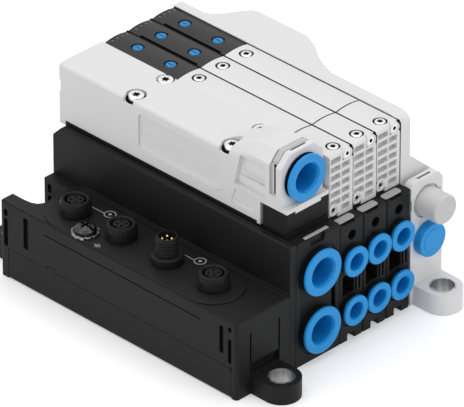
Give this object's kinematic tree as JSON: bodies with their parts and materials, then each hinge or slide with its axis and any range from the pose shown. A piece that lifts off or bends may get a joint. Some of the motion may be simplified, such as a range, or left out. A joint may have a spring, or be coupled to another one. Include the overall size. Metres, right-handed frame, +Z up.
{
  "type": "pneumatic valve island",
  "caption": "Valve island: electrical interface with round connectors, supply slice with push-in fittings, sliced valves with manual overrides, end plate with silencer.",
  "frame": {"origin": "middle of the rectangle of the four mounting holes, on the mounting plane", "axes": "+Z up from the mounting plane, -Y towards the port face, +X from the electrical interface along the row to the end plate"},
  "size_m": [0.1027, 0.144, 0.0799],
  "materials": {
    "black_plastic": "fine moulded grain",
    "black_gloss": "smooth moulded black",
    "white_plastic": "satin moulded light grey",
    "silencer_plastic": "porous sintered plastic",
    "blue_plastic": "satin moulded blue",
    "steel": "plated",
    "contacts": "gold plated",
    "spool_metal": "machined",
    "label_plastic": "blank label strip",
    "clip_plastic": "plain"
  },
  "bodies": {
    "row": {"blanking_cartridge": "black_plastic", "blanking_plug": "blue_plastic", "cap_cartridge": "black_plastic", "cap_screws": "steel", "connector_plate": "black_plastic", "earth_screw": "steel", "earth_washer": "steel", "end_clip": "clip_plastic", "end_plate": "white_plastic", "interface_base": "black_plastic", "interface_housing": "black_plastic", "label_panel": "black_plastic", "label_strips": "label_plastic", "left_end_plate": "black_plastic", "mounting_bushes": "steel", "outlet_cartridges": "black_plastic", "pilot_unit_1": "black_gloss", "pilot_unit_2": "black_gloss", "pilot_unit_3": "black_gloss", "plug_body": "black_plastic", "plug_insert": "black_plastic", "plug_pins": "contacts", "riser_block": "black_plastic", "silencer": "silencer_plastic", "socket_body_1": "black_plastic", "socket_body_2": "black_plastic", "socket_body_3": "black_plastic", "socket_inserts": "black_plastic", "sub_base_1": "black_plastic", "sub_base_2": "black_plastic", "sub_base_3": "black_plastic", "supply_base": "black_plastic", "supply_cap": "white_plastic", "supply_cartridges": "black_plastic", "supply_clip": "clip_plastic", "valve_body_1": "white_plastic", "valve_body_2": "white_plastic", "valve_body_3": "white_plastic", "valve_front_cap_1": "white_plastic", "valve_front_cap_2": "white_plastic", "valve_front_cap_3": "white_plastic", "valve_screws": "steel"},
    "cap_release_ring_body": {"cap_release_ring": "blue_plastic"},
    "outlet_1_release_ring_1_body": {"outlet_1_release_ring_1": "blue_plastic"},
    "outlet_1_release_ring_2_body": {"outlet_1_release_ring_2": "blue_plastic"},
    "outlet_2_release_ring_1_body": {"outlet_2_release_ring_1": "blue_plastic"},
    "outlet_2_release_ring_2_body": {"outlet_2_release_ring_2": "blue_plastic"},
    "outlet_3_release_ring_1_body": {"outlet_3_release_ring_1": "blue_plastic"},
    "outlet_3_release_ring_2_body": {"outlet_3_release_ring_2": "blue_plastic"},
    "override_1_1_body": {"override_1_1": "blue_plastic"},
    "override_1_2_body": {"override_1_2": "blue_plastic"},
    "override_2_1_body": {"override_2_1": "blue_plastic"},
    "override_2_2_body": {"override_2_2": "blue_plastic"},
    "override_3_1_body": {"override_3_1": "blue_plastic"},
    "override_3_2_body": {"override_3_2": "blue_plastic"},
    "spool_1_body": {"spool_1": "spool_metal"},
    "spool_2_body": {"spool_2": "spool_metal"},
    "spool_3_body": {"spool_3": "spool_metal"},
    "supply_release_ring_1_body": {"supply_release_ring_1": "blue_plastic"},
    "supply_release_ring_2_body": {"supply_release_ring_2": "blue_plastic"}
  },
  "joints": [
    {"name": "cap_release_press", "type": "slide", "parent": "row", "child": "cap_release_ring_body", "axis": [0, 1, 0], "range_m": [0, 0.001], "stiffness_N_per_m": 400, "springref_m": -0.002},
    {"name": "outlet_1_release_1_press", "type": "slide", "parent": "row", "child": "outlet_1_release_ring_1_body", "axis": [0, 1, 0], "range_m": [0, 0.001], "stiffness_N_per_m": 400, "springref_m": -0.002},
    {"name": "outlet_1_release_2_press", "type": "slide", "parent": "row", "child": "outlet_1_release_ring_2_body", "axis": [0, 1, 0], "range_m": [0, 0.001], "stiffness_N_per_m": 400, "springref_m": -0.002},
    {"name": "outlet_2_release_1_press", "type": "slide", "parent": "row", "child": "outlet_2_release_ring_1_body", "axis": [0, 1, 0], "range_m": [0, 0.001], "stiffness_N_per_m": 400, "springref_m": -0.002},
    {"name": "outlet_2_release_2_press", "type": "slide", "parent": "row", "child": "outlet_2_release_ring_2_body", "axis": [0, 1, 0], "range_m": [0, 0.001], "stiffness_N_per_m": 400, "springref_m": -0.002},
    {"name": "outlet_3_release_1_press", "type": "slide", "parent": "row", "child": "outlet_3_release_ring_1_body", "axis": [0, 1, 0], "range_m": [0, 0.001], "stiffness_N_per_m": 400, "springref_m": -0.002},
    {"name": "outlet_3_release_2_press", "type": "slide", "parent": "row", "child": "outlet_3_release_ring_2_body", "axis": [0, 1, 0], "range_m": [0, 0.001], "stiffness_N_per_m": 400, "springref_m": -0.002},
    {"name": "override_1_1_press", "type": "slide", "parent": "row", "child": "override_1_1_body", "axis": [0, 0, -1], "range_m": [0, 0.0009], "stiffness_N_per_m": 500, "springref_m": -0.001},
    {"name": "override_1_2_press", "type": "slide", "parent": "row", "child": "override_1_2_body", "axis": [0, 0, -1], "range_m": [0, 0.0009], "stiffness_N_per_m": 500, "springref_m": -0.001},
    {"name": "override_2_1_press", "type": "slide", "parent": "row", "child": "override_2_1_body", "axis": [0, 0, -1], "range_m": [0, 0.0009], "stiffness_N_per_m": 500, "springref_m": -0.001},
    {"name": "override_2_2_press", "type": "slide", "parent": "row", "child": "override_2_2_body", "axis": [0, 0, -1], "range_m": [0, 0.0009], "stiffness_N_per_m": 500, "springref_m": -0.001},
    {"name": "override_3_1_press", "type": "slide", "parent": "row", "child": "override_3_1_body", "axis": [0, 0, -1], "range_m": [0, 0.0009], "stiffness_N_per_m": 500, "springref_m": -0.001},
    {"name": "override_3_2_press", "type": "slide", "parent": "row", "child": "override_3_2_body", "axis": [0, 0, -1], "range_m": [0, 0.0009], "stiffness_N_per_m": 500, "springref_m": -0.001},
    {"name": "spool_1_shift", "type": "slide", "parent": "row", "child": "spool_1_body", "axis": [0, 1, 0], "range_m": [-0.0015, 0.0015]},
    {"name": "spool_2_shift", "type": "slide", "parent": "row", "child": "spool_2_body", "axis": [0, 1, 0], "range_m": [-0.0015, 0.0015]},
    {"name": "spool_3_shift", "type": "slide", "parent": "row", "child": "spool_3_body", "axis": [0, 1, 0], "range_m": [-0.0015, 0.0015]},
    {"name": "supply_release_1_press", "type": "slide", "parent": "row", "child": "supply_release_ring_1_body", "axis": [0, 1, 0], "range_m": [0, 0.001], "stiffness_N_per_m": 400, "springref_m": -0.002},
    {"name": "supply_release_2_press", "type": "slide", "parent": "row", "child": "supply_release_ring_2_body", "axis": [0, 1, 0], "range_m": [0, 0.001], "stiffness_N_per_m": 400, "springref_m": -0.002}
  ]
}
